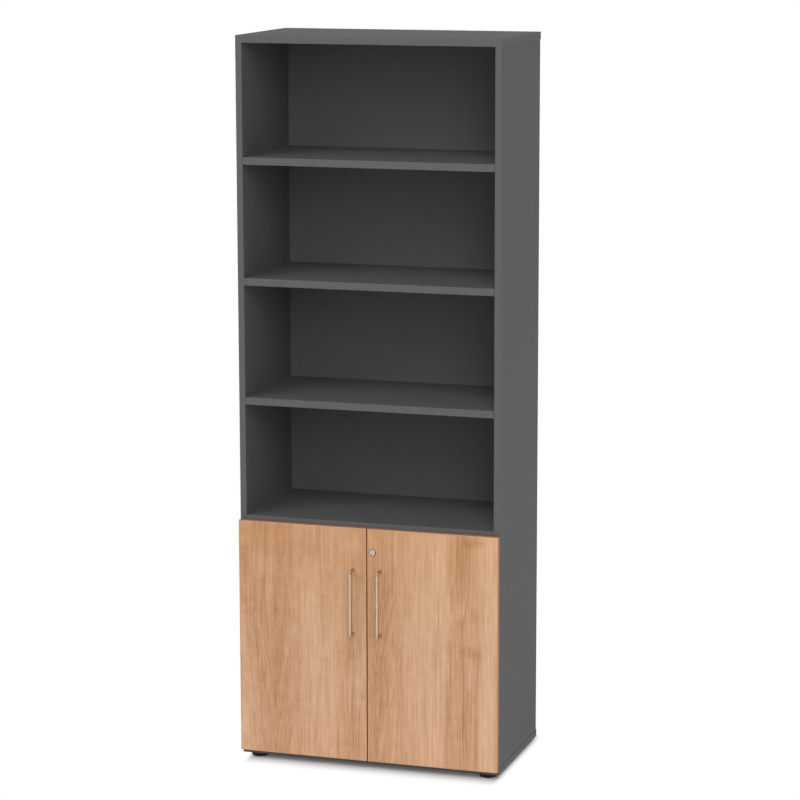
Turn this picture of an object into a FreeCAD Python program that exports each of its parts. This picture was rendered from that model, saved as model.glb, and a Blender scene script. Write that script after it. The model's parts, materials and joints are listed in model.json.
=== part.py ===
"""Tall office bookcase: four open compartments above a two-door cupboard. Millimetres, +Z up.

The origin is on the floor under the centre of the overall box, and the doors face -Y.
Depths are measured from the front plane of the carcass, positive towards the back.
The panels are edge-banded board. The doors overlay the sides on single-pivot cup hinges.
"""
import FreeCAD
import Part
import os

V = FreeCAD.Vector

# Carcass
carcass_width = 800.0
overall_height = 2160.0
cap_depth = 420.0            # top and bottom panels
cap_thickness = 22.0
cap_overhang = 8.0           # the caps' rear edge behind the sides'
side_thickness = 19.0
shelf_thickness = 22.0
back_thickness = 8.0
back_recess = 9.0            # sides' rear edge to the back panel's rear face
back_groove = 8.0            # depth of the groove that holds the back panel
groove_clearance = 0.2
shelf_side_clearance = 1.0
shelf_back_clearance = 2.0
panel_band = 2.0             # edging on the carcass and the shelves
panel_round = 1.0
foot_height = 14.0

# Levels of the shelf tops, measured down from the top of the bookcase
open_shelf_drops = {"upper": 352.0, "middle": 706.0, "lower": 1060.0}
divider_drop = 1414.0
cupboard_shelf_setback = 20.0

# Doors
door_thickness = 16.0
door_gap = 2.0               # carcass front plane to the doors' back faces
door_centre_gap = 3.0
divider_reveal = 13.0        # divider edge left in view above the doors
bottom_reveal = 12.0         # bottom panel edge left in view below them
door_band = 2.0
door_round = 1.5

# Shelf supports: blind holes in threes, with one pin in each middle hole
pin_radius = 2.5
pin_hole_depth = 10.0
pin_embedded = 9.0
pin_stub = 8.0
pin_collar_radius = 4.0
pin_collar_thickness = 0.8
pin_chamfer = 0.5
pin_hole_pitch = 32.0
pin_front_inset = 37.0
pin_rear_margin = 50.0       # back panel's front face to the rear pins

# Cam fittings and dowels of the carcass corners and the divider
cam_radius = 7.5
cam_floor = 1.0              # left in the cam beyond the slot for the bolt's head
cam_backset = 34.0           # panel end to the cam's axis
cam_cap_radius = 8.5
cam_cap_thickness = 1.0
cam_cap_edge = 0.4           # upright part of the cap's rim
cam_cap_slope = 1.0
cam_recess_radius = 2.4
cam_recess_depth = 0.9
bolt_radius = 3.0
bolt_head_radius = 3.6
bolt_head_length = 3.0
bolt_grip = 11.0             # threaded length in the other panel
bolt_neck_radius = 2.0
bolt_shoulder = 6.0          # full-width length in front of the thread
bolt_bore_radius = 4.0
dowel_radius = 4.0
dowel_length = 30.0
side_dowel_grip = 12.0       # length of the divider's dowels inside the sides
dowel_offset = 40.0          # from the cam bolt beside it
fitting_front_inset = 60.0
fitting_rear_margin = 65.0   # back panel's front face to the rear fittings

# Cup hinges
hinge_end_inset = 90.0       # door end to hinge centre
cup_radius = 17.5
cup_depth = 11.5
cup_wall = 0.8
cup_edge_distance = 3.0
cup_bore_clearance = 0.1
cup_flange = 1.0
cup_ear_offset = 9.5         # cup centre to the line of its screws
cup_ear_half_spacing = 22.5
cup_ear_half_width = 7.0
cup_ear_reach = 29.0
ear_corner_radius = 6.0      # on the cup's ears and the plate's wings
pivot_inset = 6.5            # door's outer edge to the knuckle axis
pivot_depth = 8.4            # doors' back face to the knuckle axis
knuckle_radius = 2.0
knuckle_width = 8.0
knuckle_side_clearance = 0.3
hinge_pin_radius = 1.1
hinge_pin_clearance = 0.05
lug_thickness = 1.8
lug_half_width = 2.6
strap_thickness = 1.6
strap_width = 12.0
strap_neck_reach = 11.0      # length of the narrow strap beside the lugs
strap_bend_radius = 5.0
arm_face_height = 7.0        # side panel's inner face to the arm's outer face
arm_half_width = 7.0
arm_flange_thickness = 1.2
arm_front = 4.0
arm_rear = 64.0
plate_wing_thickness = 2.0
plate_wing_reach = 24.0
plate_wing_half_width = 7.0
plate_screw_half_pitch = 16.0
plate_inset = 37.0
plate_rail_front = 24.0
plate_rail_rear = 60.0
plate_rail_clearance = 0.4
plate_flange_clearance = 0.4
arm_screw_insets = (29.0, 52.0)
arm_screw_radius = 2.0
arm_screw_length = 6.0
screw_radius = 1.75
plate_screw_radius = 2.5
screw_length = 11.0
screw_head_radius = 3.4
screw_head_height = 1.6
screw_head_edge = 0.8        # upright part of the head's rim
screw_head_crown = 2.4
screw_recess_radius = 1.2
screw_recess_depth = 0.9

# Handles: a bar between two posts
handle_from_centre = 41.5    # bookcase centre line to the handle's axis
handle_hole_spacing = 192.0
handle_drop = 222.0          # door's top edge to the middle of the handle
handle_projection = 36.0
post_radius = 5.0
post_round = 1.5
bar_radius = 4.0
bar_neck_radius = 3.0
bar_neck_length = 1.2
bar_socket = 1.0             # depth of the bar's ends in the posts
handle_screw_radius = 2.0
handle_screw_grip = 10.0
handle_screw_clearance = 0.25

# Lock on the right door
lock_from_centre = 18.5
lock_drop = 71.0             # door's top edge to the lock's axis
lock_head_radius = 10.0
lock_head_height = 3.5
lock_head_edge = 1.0
lock_head_slope = 1.5
lock_body_radius = 8.0
lock_body_flat = 7.0         # half the width across the body's two flats
lock_body_rear = 7.0         # body's rear end behind the doors' back faces
lock_bore_clearance = 0.2
lock_nut_radius = 11.0
lock_nut_height = 4.0
lock_nut_chamfer = 1.0
plug_radius = 6.0
plug_clearance = 0.05
plug_face_recess = 0.6
keyway_length = 9.6
keyway_width = 2.2
keyway_depth = 9.0
keyway_angle = 60.0
cam_plate_thickness = 2.5
cam_plate_reach = 56.0
cam_plate_width = 14.0
cam_square = 7.0             # across the flats of the plug's square end
cam_screw_head_radius = 4.5
cam_screw_head_height = 2.0
cam_screw_head_edge = 1.2
cam_screw_head_slope = 1.0
cam_screw_length = 8.0
cam_screw_bore_depth = 12.0
strike_thickness = 2.0
strike_setback = 4.0         # carcass front plane to the strike's upright leg
strike_width = 30.0
strike_leg = 20.0
strike_foot = 24.0
strike_screw_inset = 14.0    # upright leg to the screws
strike_screw_half_pitch = 7.5

# Bumpers between the carcass front and the doors
bumper_radius = 3.5
bumper_edge = 1.0
bumper_crown = 2.5
bumper_from_centre = 60.0

# Levelling feet
foot_radius = 26.0
foot_round = 4.0
foot_inset_x = 42.0
foot_front_inset = 34.0
foot_rear_margin = 48.0      # caps' rear edge to the rear feet
foot_gap = 0.3
spindle_radius = 5.0
spindle_reach = 16.0
spindle_clearance = 0.05
spindle_chamfer = 1.0
insert_radius = 9.0
insert_depth = 18.0

# What follows from them
half_width = carcass_width / 2
side_depth = cap_depth - cap_overhang
door_front = -(door_gap + door_thickness)
overall_depth = cap_depth - door_front + handle_projection
front_plane = overall_depth / 2 - cap_depth
inner_half = half_width - side_thickness
back_face = side_depth - back_recess - back_thickness
pin_depths = (pin_front_inset, back_face - pin_rear_margin)
fitting_depths = (fitting_front_inset, back_face - fitting_rear_margin)
top_underside = overall_height - cap_thickness
bottom_top = foot_height + cap_thickness
divider_top = overall_height - divider_drop
divider_underside = divider_top - shelf_thickness
cupboard_clear = (divider_underside - bottom_top - shelf_thickness) / 2
shelf_tops = {n: overall_height - d for n, d in open_shelf_drops.items()}
cupboard_shelf_top = bottom_top + cupboard_clear + shelf_thickness
door_top = divider_top - divider_reveal
door_bottom = foot_height + bottom_reveal
door_inner = door_centre_gap / 2
hinge_levels = (door_bottom + hinge_end_inset, door_top - hinge_end_inset)
handle_middle = door_top - handle_drop
handle_levels = (handle_middle - handle_hole_spacing / 2, handle_middle + handle_hole_spacing / 2)
lock_level = door_top - lock_drop
cup_centre = cup_edge_distance + cup_radius
pivot_back = -door_gap - pivot_depth
arm_line = side_thickness + arm_face_height - strap_thickness / 2


def at(x, depth, z):
    """A point from its width, its depth behind the carcass front plane and its height."""
    return V(x, front_plane + depth, z)


def block(x0, x1, d0, d1, z0, z1):
    return Part.makeBox(x1 - x0, d1 - d0, z1 - z0, at(x0, d0, z0))


def rod(radius, start, end):
    run = end - start
    return Part.makeCylinder(radius, run.Length, start, run)


def turned(points, start, direction):
    """Revolves (radius, distance) points about the line through start along direction."""
    profile = Part.Face(Part.makePolygon([V(r, 0, h) for r, h in points + points[:1]]))
    solid = profile.revolve(V(), V(0, 0, 1), 360)
    solid.Placement = FreeCAD.Placement(start, FreeCAD.Rotation(V(0, 0, 1), direction))
    return solid


def joined(shapes):
    shapes = list(shapes)
    return shapes[0].multiFuse(shapes[1:]).removeSplitter()


def without(shape, tools):
    tools = list(tools)
    return shape.cut(tools) if tools else shape


def mirrored(shape):
    return shape.mirror(V(), V(1, 0, 0))


def on_both_sides(shapes):
    """The shapes made for the left side, and their mirror images."""
    shapes = list(shapes)
    return shapes + [mirrored(s) for s in shapes]


def write(node, *shapes):
    solids = [solid for shape in shapes for solid in shape.Solids]
    whole = solids[0] if len(solids) == 1 else Part.makeCompound(solids)
    whole.exportStep(os.path.join("parts", node + ".step"))


def banded_panel(low, high, banded, band, rounding, kept_axes="xyz"):
    """A board's core and its edging strips.

    banded lists the banded faces as an axis and a side, such as "y-". The rounding runs along
    the outer edges of those faces that are parallel to one of kept_axes.
    """
    axes = "xyz"
    outer = Part.makeBox(*[h - l for l, h in zip(low, high)], V(*low))
    ends = {"-": low, "+": high}

    def on_band(edge):
        across = [max(v.Point[i] for v in edge.Vertexes) - min(v.Point[i] for v in edge.Vertexes)
                  for i in range(3)]
        if axes[across.index(max(across))] not in kept_axes:
            return False
        return any(all(abs(v.Point[axes.index(a)] - ends[s][axes.index(a)]) < 1e-6
                       for v in edge.Vertexes) for a, s in banded)

    outer = outer.makeFillet(rounding, [e for e in outer.Edges if on_band(e)])
    core_ends = {"-": list(low), "+": list(high)}
    strips = []
    for axis, side in banded:
        i = axes.index(axis)
        zone = {"-": list(core_ends["-"]), "+": list(core_ends["+"])}
        inward = band if side == "-" else -band
        core_ends[side][i] += inward
        zone["+" if side == "-" else "-"][i] = core_ends[side][i]
        size = [h - l for l, h in zip(zone["-"], zone["+"])]
        strips.append(outer.common(Part.makeBox(*size, V(*zone["-"]))))
    size = [h - l for l, h in zip(core_ends["-"], core_ends["+"])]
    return Part.makeBox(*size, V(*core_ends["-"])), strips


# Carcass panels ---------------------------------------------------------------------------

def shelf_levels():
    """The undersides of the four loose shelves."""
    tops = list(shelf_tops.values()) + [cupboard_shelf_top]
    return [top - shelf_thickness for top in tops]


def pin_holes():
    """The left side's holes, in threes round each shelf's pins."""
    for underside in shelf_levels():
        for depth in pin_depths:
            for step in (-1, 0, 1):
                level = underside - pin_radius + step * pin_hole_pitch
                mouth = at(-inner_half, depth, level)
                yield rod(pin_radius, mouth, mouth - V(pin_hole_depth, 0, 0))


def corner_fittings():
    """The fittings that tie the left side to a cap: seat on the joint, and the bolt's pull."""
    for end, towards in ((top_underside, 1), (bottom_top, -1)):
        for depth in fitting_depths:
            yield at(-half_width + side_thickness / 2, depth, end), V(0, 0, towards)


def divider_fittings():
    """The fittings that tie the divider to the left side."""
    for depth in fitting_depths:
        yield at(-inner_half, depth, divider_underside + shelf_thickness / 2), V(-1, 0, 0)


def in_divider(pull):
    return abs(pull.x) > 0.5


def cam_ends(seat, pull):
    """The cam's axis, from the board's open face to just past the slot for the bolt."""
    centre = seat - pull * cam_backset
    past_bolt = bolt_bore_radius + cam_floor
    if in_divider(pull):
        return V(centre.x, centre.y, divider_underside), centre + V(0, 0, past_bolt)
    return V(-inner_half, centre.y, centre.z), centre - V(past_bolt, 0, 0)


def dowel_seat(seat):
    inward = 1 if seat.y < at(0, side_depth / 2, 0).y else -1
    return seat + V(0, inward * dowel_offset, 0)


def dowel_ends(seat, pull):
    """The dowel beside a bolt: its end in the board with the bolt, its joint and its other end."""
    joint = dowel_seat(seat)
    grip = side_dowel_grip if in_divider(pull) else dowel_length / 2
    return joint + pull * grip, joint, joint - pull * (dowel_length - grip)


def cam_board_cuts(fittings):
    """Bores in the boards that hold the cams."""
    for seat, pull in fittings:
        _, joint, dowel_end = dowel_ends(seat, pull)
        yield rod(bolt_bore_radius, seat, seat - pull * cam_backset)
        yield rod(dowel_radius, joint, dowel_end)
        yield rod(cam_radius, *cam_ends(seat, pull))


def bolt_board_cuts(fittings):
    """Bores in the boards that hold the bolts."""
    for seat, pull in fittings:
        dowel_end, joint, _ = dowel_ends(seat, pull)
        yield rod(bolt_radius, seat, seat + pull * bolt_grip)
        yield rod(dowel_radius, joint, dowel_end)


def back_grooves():
    """One frame-shaped groove, cut from every panel that holds the back."""
    half = groove_clearance / 2
    return block(-inner_half - back_groove, inner_half + back_groove,
                 back_face - half, back_face + back_thickness + half,
                 bottom_top - back_groove, top_underside + back_groove)


def hinge_plate_holes():
    for level in hinge_levels:
        for step in (-1, 1):
            mouth = at(-inner_half, plate_inset, level + step * plate_screw_half_pitch)
            yield rod(plate_screw_radius, mouth, mouth - V(screw_length, 0, 0))


def side_panel():
    core, strips = banded_panel(at(-half_width, 0, bottom_top), at(-inner_half, side_depth, top_underside),
                                ["y-"], panel_band, panel_round, "z")
    cuts = [back_grooves(), *cam_board_cuts(corner_fittings()), *bolt_board_cuts(divider_fittings()),
            *pin_holes(), *hinge_plate_holes()]
    return without(core, cuts), strips


def cap_panel(low_z, high_z, extra_cuts=()):
    core, strips = banded_panel(at(-half_width, 0, low_z), at(half_width, cap_depth, high_z),
                                ["y-", "y+", "x-", "x+"], panel_band, panel_round)
    bores = on_both_sides(bolt_board_cuts(corner_fittings()))
    return without(core, [back_grooves(), *bores, *extra_cuts]), strips


def shelf_board(top, half, setback, depth):
    return banded_panel(at(-half, setback, top - shelf_thickness), at(half, depth, top),
                        ["y-"], panel_band, panel_round, "x")


def make_carcass():
    side, side_strips = side_panel()
    write("side_left", side)
    write("side_right", mirrored(side))
    write("side_left_edging", *side_strips)
    write("side_right_edging", *[mirrored(s) for s in side_strips])

    top, top_strips = cap_panel(top_underside, overall_height)
    write("top_panel", top)
    write("top_edging", *top_strips)
    bottom, bottom_strips = cap_panel(foot_height, bottom_top, insert_bores())
    write("bottom_panel", bottom)
    write("bottom_edging", *bottom_strips)

    divider, divider_strips = shelf_board(divider_top, inner_half, 0, back_face)
    bores = on_both_sides(cam_board_cuts(divider_fittings()))
    write("divider_shelf", without(divider, [*bores, *strike_screw_bores()]))
    write("divider_edging", *divider_strips)

    tongue = back_groove - 2 * groove_clearance
    write("back_panel", block(-inner_half - tongue, inner_half + tongue,
                              back_face, back_face + back_thickness,
                              bottom_top - tongue, top_underside + tongue))


def make_shelves():
    half = inner_half - shelf_side_clearance
    rear = back_face - shelf_back_clearance
    edging = []
    for name, top in shelf_tops.items():
        board, strips = shelf_board(top, half, 0, rear)
        write("open_shelf_" + name, board)
        edging += strips
    write("open_shelf_edging", *edging)
    board, strips = shelf_board(cupboard_shelf_top, half, cupboard_shelf_setback, rear)
    write("cupboard_shelf", board)
    write("cupboard_shelf_edging", *strips)


def make_shelf_pins():
    """A steel pin with a collar: the shank sits in the side, the stub carries the shelf."""
    pins = []
    for underside in shelf_levels():
        for depth in pin_depths:
            mouth = at(-inner_half, depth, underside - pin_radius)
            pins.append(turned([(0, -pin_embedded), (pin_radius - pin_chamfer, -pin_embedded),
                                (pin_radius, -pin_embedded + pin_chamfer), (pin_radius, 0),
                                (pin_collar_radius, 0), (pin_collar_radius, pin_collar_thickness),
                                (pin_radius, pin_collar_thickness), (pin_radius, pin_stub),
                                (0, pin_stub)], mouth, V(1, 0, 0)))
    write("shelf_pins", *on_both_sides(pins))


def make_fittings():
    """Cam housings with their bolts, caps and dowels."""
    cams, bolts, caps, dowels = [], [], [], []
    for seat, pull in [*corner_fittings(), *divider_fittings()]:
        face, end = cam_ends(seat, pull)
        inwards = (end - face).normalize()
        centre = seat - pull * cam_backset
        head_end = centre - pull * bolt_head_length / 2
        cam = rod(cam_radius, face, end)
        slot = rod(bolt_bore_radius, head_end, seat)
        cross = rod(cam_recess_radius, face, face + inwards * cam_recess_depth)
        cams.append(without(cam, [slot, cross]))
        length = cam_backset + bolt_head_length / 2
        bolts.append(turned([(0, 0), (bolt_head_radius, 0), (bolt_head_radius, bolt_head_length),
                             (bolt_neck_radius, bolt_head_length), (bolt_neck_radius, length - bolt_shoulder),
                             (bolt_radius, length - bolt_shoulder), (bolt_radius, length + bolt_grip),
                             (0, length + bolt_grip)], head_end, pull))
        caps.append(turned([(0, 0), (cam_cap_radius, 0), (cam_cap_radius, cam_cap_edge),
                            (cam_cap_radius - cam_cap_slope, cam_cap_thickness), (0, cam_cap_thickness)],
                           face, inwards * -1))
        dowel_start, _, dowel_end = dowel_ends(seat, pull)
        dowels.append(rod(dowel_radius, dowel_start, dowel_end))
    write("cam_housings", *on_both_sides(cams))
    write("cam_bolts", *on_both_sides(bolts))
    write("cam_caps", *on_both_sides(caps))
    write("dowels", *on_both_sides(dowels))


# Doors ------------------------------------------------------------------------------------

def door_point(x, z):
    """A point on the doors' back plane."""
    return at(x, -door_gap, z)


def cup_bores():
    for level in hinge_levels:
        centre = door_point(-half_width + cup_centre, level)
        yield rod(cup_radius + cup_bore_clearance, centre,
                  centre - V(0, cup_depth + cup_bore_clearance, 0))
        for screw in cup_screw_seats(level):
            yield rod(screw_radius, screw, screw - V(0, screw_length, 0))


def cup_screw_seats(level):
    for step in (-1, 1):
        yield door_point(-half_width + cup_centre + cup_ear_offset, level + step * cup_ear_half_spacing)


def handle_bores():
    for level in handle_levels:
        back = door_point(-handle_from_centre, level)
        yield rod(handle_screw_radius + handle_screw_clearance, back, back - V(0, door_thickness, 0))


def lock_bore():
    back = door_point(lock_from_centre, lock_level)
    return rod(lock_body_radius + lock_bore_clearance, back, back - V(0, door_thickness, 0))


def make_doors():
    low, high = at(-half_width, door_front, door_bottom), at(-door_inner, -door_gap, door_top)
    panel, strips = banded_panel(low, high, ["z-", "z+", "x-", "x+"], door_band, door_round)
    panel = without(panel, list(cup_bores()) + list(handle_bores()))
    write("door_left", panel)
    write("door_left_edging", *strips)
    write("door_right", mirrored(panel).cut(lock_bore()))
    write("door_right_edging", *[mirrored(s) for s in strips])


def hinge_cup(level):
    """A pressed cup with a flange, two screw ears and two lugs that hold the knuckle pin."""
    centre = door_point(-half_width + cup_centre, level)
    into_door = V(0, -1, 0)
    shell = rod(cup_radius, centre - into_door * cup_flange, centre + into_door * cup_depth)
    ear_x = -half_width + cup_centre + cup_ear_offset
    ears = block(ear_x - cup_ear_half_width, ear_x + cup_ear_half_width, -door_gap, -door_gap + cup_flange,
                 level - cup_ear_reach, level + cup_ear_reach)
    corners = [e for e in ears.Edges if abs(e.Vertexes[0].Y - e.Vertexes[-1].Y) > cup_flange / 2]
    ears = ears.makeFillet(ear_corner_radius, corners)
    pivot_x = -half_width + pivot_inset
    lug_start = knuckle_width / 2 + knuckle_side_clearance
    hollow = rod(cup_radius - cup_wall, centre - into_door * cup_flange,
                 centre + into_door * (cup_depth - cup_wall))
    lugs = []
    for low, high in ((lug_start, lug_start + lug_thickness), (-lug_start - lug_thickness, -lug_start)):
        cheek = block(pivot_x - lug_half_width, pivot_x + lug_half_width, -door_gap - cup_depth + cup_wall,
                      pivot_back, level + low, level + high)
        eye = rod(lug_half_width, at(pivot_x, pivot_back, level + low), at(pivot_x, pivot_back, level + high))
        lugs.append(cheek.fuse(eye).common(hollow))
    holes = [rod(hinge_pin_radius, *hinge_pin_ends(level))]
    for seat in cup_screw_seats(level):
        holes.append(rod(screw_radius, seat, seat + V(0, cup_flange, 0)))
    return without(joined([joined([shell, ears]).cut(hollow)] + lugs), holes)


def hinge_pin_ends(level):
    reach = knuckle_width / 2 + knuckle_side_clearance + lug_thickness
    axis = at(-half_width + pivot_inset, pivot_back, level)
    return axis - V(0, 0, reach), axis + V(0, 0, reach)


def hinge_arm(level):
    """A bent strap runs from the knuckle in the cup, round the side's edge, into a channel."""
    pivot_x, line_x = -half_width + pivot_inset, -half_width + arm_line
    half_t, half_w = strap_thickness / 2, strap_width / 2
    z0, z1 = level - half_w, level + half_w
    bend_x, bend_depth = line_x - strap_bend_radius, pivot_back + strap_bend_radius
    tongue = block(pivot_x, bend_x, pivot_back - half_t, pivot_back + half_t, z0, z1)
    bend_axis = (at(bend_x, bend_depth, z0), at(bend_x, bend_depth, z1))
    ring = rod(strap_bend_radius + half_t, *bend_axis).cut(rod(strap_bend_radius - half_t, *bend_axis))
    bend = ring.common(block(bend_x, line_x + half_t, pivot_back - half_t, bend_depth, z0, z1))
    leg = block(line_x - half_t, line_x + half_t, bend_depth, arm_front, z0, z1)
    web = block(line_x - half_t, line_x + half_t, arm_front, arm_rear,
                level - arm_half_width, level + arm_half_width)
    flange_x = -inner_half + plate_wing_thickness + plate_flange_clearance
    flanges = [block(flange_x, line_x, arm_front, arm_rear, level + low, level + low + arm_flange_thickness)
               for low in (-arm_half_width, arm_half_width - arm_flange_thickness)]
    knuckle = rod(knuckle_radius, at(pivot_x, pivot_back, level - knuckle_width / 2),
                  at(pivot_x, pivot_back, level + knuckle_width / 2))
    arm = joined([tongue, bend, leg, web] + flanges)
    neck_end = pivot_x + strap_neck_reach
    shoulders = [block(pivot_x - strap_width, neck_end,
                       pivot_back - strap_width, pivot_back + strap_width, low, high)
                 for low, high in ((level - strap_width, level - knuckle_width / 2),
                                   (level + knuckle_width / 2, level + strap_width))]
    arm = joined([without(arm, shoulders), knuckle])
    bore = rod(hinge_pin_radius + hinge_pin_clearance, *hinge_pin_ends(level))
    screws = [rod(arm_screw_radius, at(line_x - half_t, depth, level), at(line_x + half_t, depth, level))
              for depth in arm_screw_insets]
    return without(arm, [bore] + screws)


def hinge_plate(level):
    """A cross plate: two screwed wings, and a rail that the arm's channel sits on."""
    face = -inner_half
    wings = block(face, face + plate_wing_thickness, plate_inset - plate_wing_half_width,
                  plate_inset + plate_wing_half_width, level - plate_wing_reach, level + plate_wing_reach)
    corners = [e for e in wings.Edges if abs(e.Vertexes[0].X - e.Vertexes[-1].X) > plate_wing_thickness / 2]
    wings = wings.makeFillet(ear_corner_radius, corners)
    rail_half = arm_half_width - arm_flange_thickness - plate_rail_clearance
    rail = block(face, -half_width + arm_line - strap_thickness / 2, plate_rail_front, plate_rail_rear,
                 level - rail_half, level + rail_half)
    holes = [rod(plate_screw_radius, seat, seat + V(plate_wing_thickness, 0, 0))
             for seat in plate_screw_seats(level)]
    holes += [rod(arm_screw_radius, at(face, depth, level), at(face + arm_face_height, depth, level))
              for depth in arm_screw_insets if depth > plate_rail_front]
    return without(joined([wings, rail]), holes)


def plate_screw_seats(level):
    for step in (-1, 1):
        yield at(-inner_half, plate_inset, level + step * plate_screw_half_pitch)


def headed_screw(radius, length, seat, inwards):
    """A pan-head screw with a drive recess. Its head stands on seat."""
    head = screw_head_height
    screw = turned([(0, length), (radius, length - radius), (radius, 0), (screw_head_radius, 0),
                    (screw_head_radius, -screw_head_edge), (screw_head_crown, -head), (0, -head)],
                   seat, inwards)
    recess = rod(screw_recess_radius, seat - inwards * head, seat - inwards * (head - screw_recess_depth))
    return screw.cut(recess)


def make_hinges():
    cups = [hinge_cup(level) for level in hinge_levels]
    arms = [hinge_arm(level) for level in hinge_levels]
    plates = [hinge_plate(level) for level in hinge_levels]
    pins = [rod(hinge_pin_radius, *hinge_pin_ends(level)) for level in hinge_levels]
    cup_screws, carcass_screws = [], []
    for level in hinge_levels:
        for seat in cup_screw_seats(level):
            seat = seat + V(0, cup_flange, 0)
            cup_screws.append(headed_screw(screw_radius, screw_length, seat, V(0, -1, 0)))
        for seat in plate_screw_seats(level):
            seat = seat + V(plate_wing_thickness, 0, 0)
            carcass_screws.append(headed_screw(plate_screw_radius, screw_length, seat, V(-1, 0, 0)))
        for depth in arm_screw_insets:
            seat = at(-half_width + arm_line + strap_thickness / 2, depth, level)
            carcass_screws.append(headed_screw(arm_screw_radius, arm_screw_length, seat, V(-1, 0, 0)))
    for side, place in (("left", lambda s: s), ("right", mirrored)):
        write("hinge_cups_" + side, *map(place, cups))
        write("hinge_arms_" + side, *map(place, arms))
        write("hinge_plates_" + side, *map(place, plates))
        write("hinge_pins_" + side, *map(place, pins))
        write("hinge_cup_screws_" + side, *map(place, cup_screws))
        write("hinge_plate_screws_" + side, *map(place, carcass_screws))


# Handles, lock and bumpers ----------------------------------------------------------------

def handle_parts():
    """The left handle: two turned posts, the bar between them and the screws behind."""
    posts, screws = [], []
    reach = handle_projection
    for level in handle_levels:
        foot = at(-handle_from_centre, door_front, level)
        front = foot - V(0, reach, 0)
        post = rod(post_radius, foot, front)
        post = post.makeFillet(post_round, [e for e in post.Edges if e.BoundBox.YMax < front.y + 1e-6])
        posts.append(post.cut(rod(handle_screw_radius, foot, foot - V(0, handle_screw_grip, 0))))
        screws.append(headed_screw(handle_screw_radius, door_thickness + handle_screw_grip,
                                   door_point(-handle_from_centre, level), V(0, -1, 0)))
    low, high = handle_levels
    bar_depth = door_front - handle_projection + post_radius
    start = at(-handle_from_centre, bar_depth, low)
    neck_start = post_radius - bar_socket
    neck_end = post_radius + bar_neck_length
    span = high - low
    bar = turned([(0, neck_start), (bar_neck_radius, neck_start), (bar_neck_radius, neck_end),
                  (bar_radius, neck_end), (bar_radius, span - neck_end), (bar_neck_radius, span - neck_end),
                  (bar_neck_radius, span - neck_start), (0, span - neck_start)], start, V(0, 0, 1))
    socket = rod(bar_neck_radius, start + V(0, 0, neck_start), start + V(0, 0, span - neck_start))
    return [p.cut(socket) for p in posts], bar, screws


def make_handles():
    posts, bar, screws = handle_parts()
    for side, place in (("left", lambda s: s), ("right", mirrored)):
        write("handle_posts_" + side, *map(place, posts))
        write("handle_bar_" + side, place(bar))
        write("handle_screws_" + side, *map(place, screws))


def lock_line(depth):
    return at(lock_from_centre, depth, lock_level)


def make_lock():
    """A cam lock: fixed housing with a clamping nut, turning plug, cam and strike."""
    back = -door_gap
    body_end = back + lock_body_rear
    head = turned([(0, 0), (lock_head_radius, 0), (lock_head_radius, lock_head_edge),
                   (lock_head_radius - lock_head_slope, lock_head_height), (0, lock_head_height)],
                  lock_line(door_front), V(0, -1, 0))
    body = rod(lock_body_radius, lock_line(door_front), lock_line(body_end))
    flats = block(lock_from_centre - lock_body_flat, lock_from_centre + lock_body_flat, door_front, body_end,
                  lock_level - lock_body_radius, lock_level + lock_body_radius)
    bore = rod(plug_radius + plug_clearance, lock_line(door_front - lock_head_height), lock_line(body_end))
    write("lock_housing", joined([head, body.common(flats)]).cut(bore))

    nut = turned([(0, 0), (lock_nut_radius, 0), (lock_nut_radius, lock_nut_height - lock_nut_chamfer),
                  (lock_nut_radius - lock_nut_chamfer, lock_nut_height), (0, lock_nut_height)],
                 lock_line(back), V(0, 1, 0))
    write("lock_nut", nut.cut(body.common(flats)))

    plug_front = door_front - lock_head_height + plug_face_recess
    plug = rod(plug_radius, lock_line(plug_front), lock_line(body_end))
    half = cam_square / 2
    plate_end = body_end + cam_plate_thickness
    square = block(lock_from_centre - half, lock_from_centre + half, body_end, plate_end,
                   lock_level - half, lock_level + half)
    keyway = block(lock_from_centre - keyway_length / 2, lock_from_centre + keyway_length / 2,
                   plug_front, plug_front + keyway_depth,
                   lock_level - keyway_width / 2, lock_level + keyway_width / 2)
    keyway.rotate(lock_line(0), V(0, -1, 0), keyway_angle)
    screw_bore = rod(screw_radius, lock_line(plate_end - cam_screw_bore_depth), lock_line(plate_end))
    write("lock_plug", without(joined([plug, square]), [keyway, screw_bore]))

    half = cam_plate_width / 2
    plate_tip = lock_from_centre + cam_plate_reach - half
    plate = block(lock_from_centre, plate_tip, body_end, plate_end, lock_level - half, lock_level + half)
    round_ends = [rod(half, at(x, body_end, lock_level), at(x, plate_end, lock_level))
                  for x in (lock_from_centre, plate_tip)]
    write("lock_cam", joined([plate] + round_ends).cut(square))

    cam_screw = turned([(0, cam_screw_length), (screw_radius, cam_screw_length), (screw_radius, 0),
                        (cam_screw_head_radius, 0), (cam_screw_head_radius, -cam_screw_head_edge),
                        (cam_screw_head_radius - cam_screw_head_slope, -cam_screw_head_height),
                        (0, -cam_screw_head_height)], lock_line(plate_end), V(0, -1, 0))
    write("lock_cam_screw", cam_screw)
    make_strike()


def strike_screw_seats():
    for step in (-1, 1):
        yield at(lock_from_centre + step * strike_screw_half_pitch, strike_setback + strike_screw_inset,
                 divider_underside - strike_thickness)


def strike_screw_bores():
    for seat in strike_screw_seats():
        yield rod(screw_radius, seat, seat + V(0, 0, screw_length))


def make_strike():
    """An angle under the divider. The cam turns up behind its upright leg."""
    x0, x1 = lock_from_centre - strike_width / 2, lock_from_centre + strike_width / 2
    foot = block(x0, x1, strike_setback - strike_thickness, strike_setback + strike_foot,
                 divider_underside - strike_thickness, divider_underside)
    leg = block(x0, x1, strike_setback - strike_thickness, strike_setback,
                divider_underside - strike_leg, divider_underside)
    write("lock_strike", without(joined([foot, leg]), strike_screw_bores()))
    write("lock_strike_screws", *[headed_screw(screw_radius, screw_length, seat, V(0, 0, 1))
                                  for seat in strike_screw_seats()])


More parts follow.
